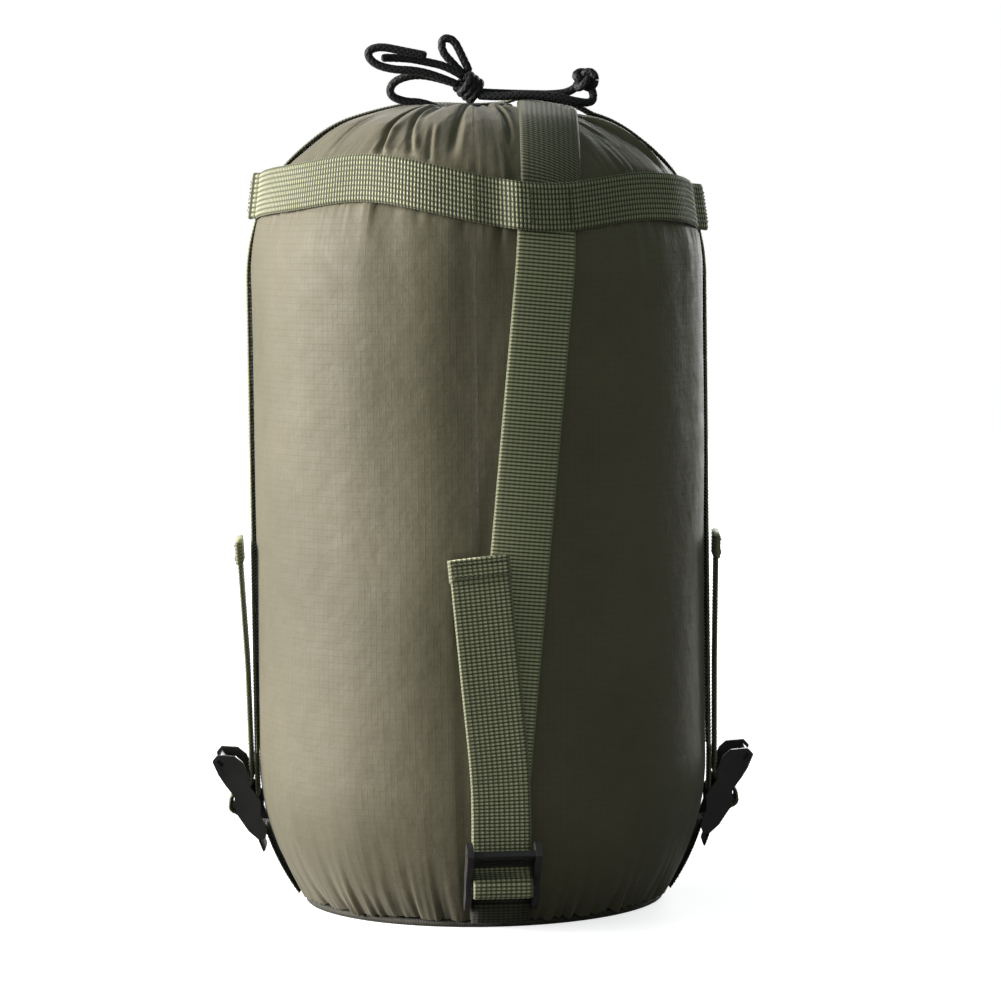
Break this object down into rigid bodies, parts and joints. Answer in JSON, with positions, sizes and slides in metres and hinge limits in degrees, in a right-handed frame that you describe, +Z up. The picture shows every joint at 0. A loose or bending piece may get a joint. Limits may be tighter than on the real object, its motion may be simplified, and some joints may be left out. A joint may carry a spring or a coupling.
{
  "type": "compression sack",
  "caption": "Stuffed cylindrical drawstring sack in a webbing harness with ladder-lock buckles and strap tails that cinch it shorter.",
  "frame": {"origin": "centre of the round base, on the surface the sack stands on", "axes": "+Z up along the sack, -Y towards the front strap, +X to the right seen from the front"},
  "size_m": [0.2372, 0.2392, 0.3825],
  "materials": {
    "bag_fabric": "coated ripstop with a soft sheen",
    "webbing": "ribbed polyester webbing",
    "buckle_plastic": "moulded acetal, satin",
    "drawcord": "braided cord",
    "base_binding": "seam tape",
    "packed_load": "soft fill"
  },
  "bodies": {
    "base": {"packed_load": "packed_load", "side_wall": "bag_fabric", "bottom_panel": "bag_fabric", "bottom_binding": "base_binding", "front_strap_upper": "webbing", "front_strap_lower": "webbing", "front_anchor_loop": "webbing", "right_strap_upper": "webbing", "right_strap_lower": "webbing", "right_anchor_loop": "webbing", "back_strap_upper": "webbing", "back_strap_lower": "webbing", "back_anchor_loop": "webbing", "left_strap_upper": "webbing", "left_strap_lower": "webbing", "left_anchor_loop": "webbing"},
    "top": {"top_collar": "bag_fabric", "drawcord_casing": "bag_fabric", "drawcord_in_casing": "drawcord", "ring_band": "webbing", "cross_strap_front_back": "webbing", "cross_strap_left_right": "webbing", "bow_knot": "drawcord", "end_knot": "drawcord", "cord_mouth_strand": "drawcord", "cord_folded_end": "drawcord", "cord_short_end": "drawcord", "cord_small_loop": "drawcord", "cord_upper_right": "drawcord", "cord_lower_right": "drawcord"},
    "front_buckle_body": {"front_buckle": "buckle_plastic", "front_buckle_wrap": "webbing"},
    "front_tail_body": {"front_tail": "webbing", "front_tail_hem": "webbing"},
    "right_buckle_body": {"right_buckle": "buckle_plastic", "right_buckle_wrap": "webbing"},
    "right_tail_body": {"right_tail": "webbing", "right_tail_hem": "webbing"},
    "back_buckle_body": {"back_buckle": "buckle_plastic", "back_buckle_wrap": "webbing"},
    "back_tail_body": {"back_tail": "webbing", "back_tail_hem": "webbing"},
    "left_buckle_body": {"left_buckle": "buckle_plastic", "left_buckle_wrap": "webbing"},
    "left_tail_body": {"left_tail": "webbing", "left_tail_hem": "webbing"}
  },
  "joints": [
    {"name": "compress", "type": "slide", "parent": "base", "child": "top", "axis": [0, 0, 1], "range_m": [-0.09, 0], "deforming": ["side_wall", "packed_load", "front_strap_upper", "right_strap_upper", "back_strap_upper", "left_strap_upper"]},
    {"name": "front_buckle_tilt", "type": "hinge", "parent": "base", "child": "front_buckle_body", "pos_m": [0.00654, -0.08904, 0.012], "axis": [0.9973, 0.0732, 0], "range_deg": [0, 35]},
    {"name": "front_tail_slide", "type": "slide", "parent": "front_buckle_body", "child": "front_tail_body", "axis": [-0.0863, -0.0532, 0.9948], "range_m": [0, 0.09], "deforming": ["front_tail"]},
    {"name": "right_buckle_tilt", "type": "hinge", "parent": "base", "child": "right_buckle_body", "pos_m": [0.09756, 0, 0.031], "axis": [0, 1, 0], "range_deg": [0, 35]},
    {"name": "right_tail_slide", "type": "slide", "parent": "right_buckle_body", "child": "right_tail_body", "axis": [0.0144, -0.0531, 0.9985], "range_m": [0, 0.09], "deforming": ["right_tail"]},
    {"name": "back_buckle_tilt", "type": "hinge", "parent": "base", "child": "back_buckle_body", "pos_m": [0.00654, 0.08904, 0.012], "axis": [-0.9973, 0.0732, 0], "range_deg": [0, 35]},
    {"name": "back_tail_slide", "type": "slide", "parent": "back_buckle_body", "child": "back_tail_body", "axis": [-0.0863, 0.0532, 0.9948], "range_m": [0, 0.09], "deforming": ["back_tail"]},
    {"name": "left_buckle_tilt", "type": "hinge", "parent": "base", "child": "left_buckle_body", "pos_m": [-0.09756, 0, 0.031], "axis": [0, -1, 0], "range_deg": [0, 35]},
    {"name": "left_tail_slide", "type": "slide", "parent": "left_buckle_body", "child": "left_tail_body", "axis": [-0.0359, -0.0531, 0.9979], "range_m": [0, 0.09], "deforming": ["left_tail"]}
  ],
  "couplings": [
    {"joint": "front_tail_slide", "follows": "compress", "ratio": -1},
    {"joint": "right_tail_slide", "follows": "compress", "ratio": -1},
    {"joint": "back_tail_slide", "follows": "compress", "ratio": -1},
    {"joint": "left_tail_slide", "follows": "compress", "ratio": -1}
  ]
}
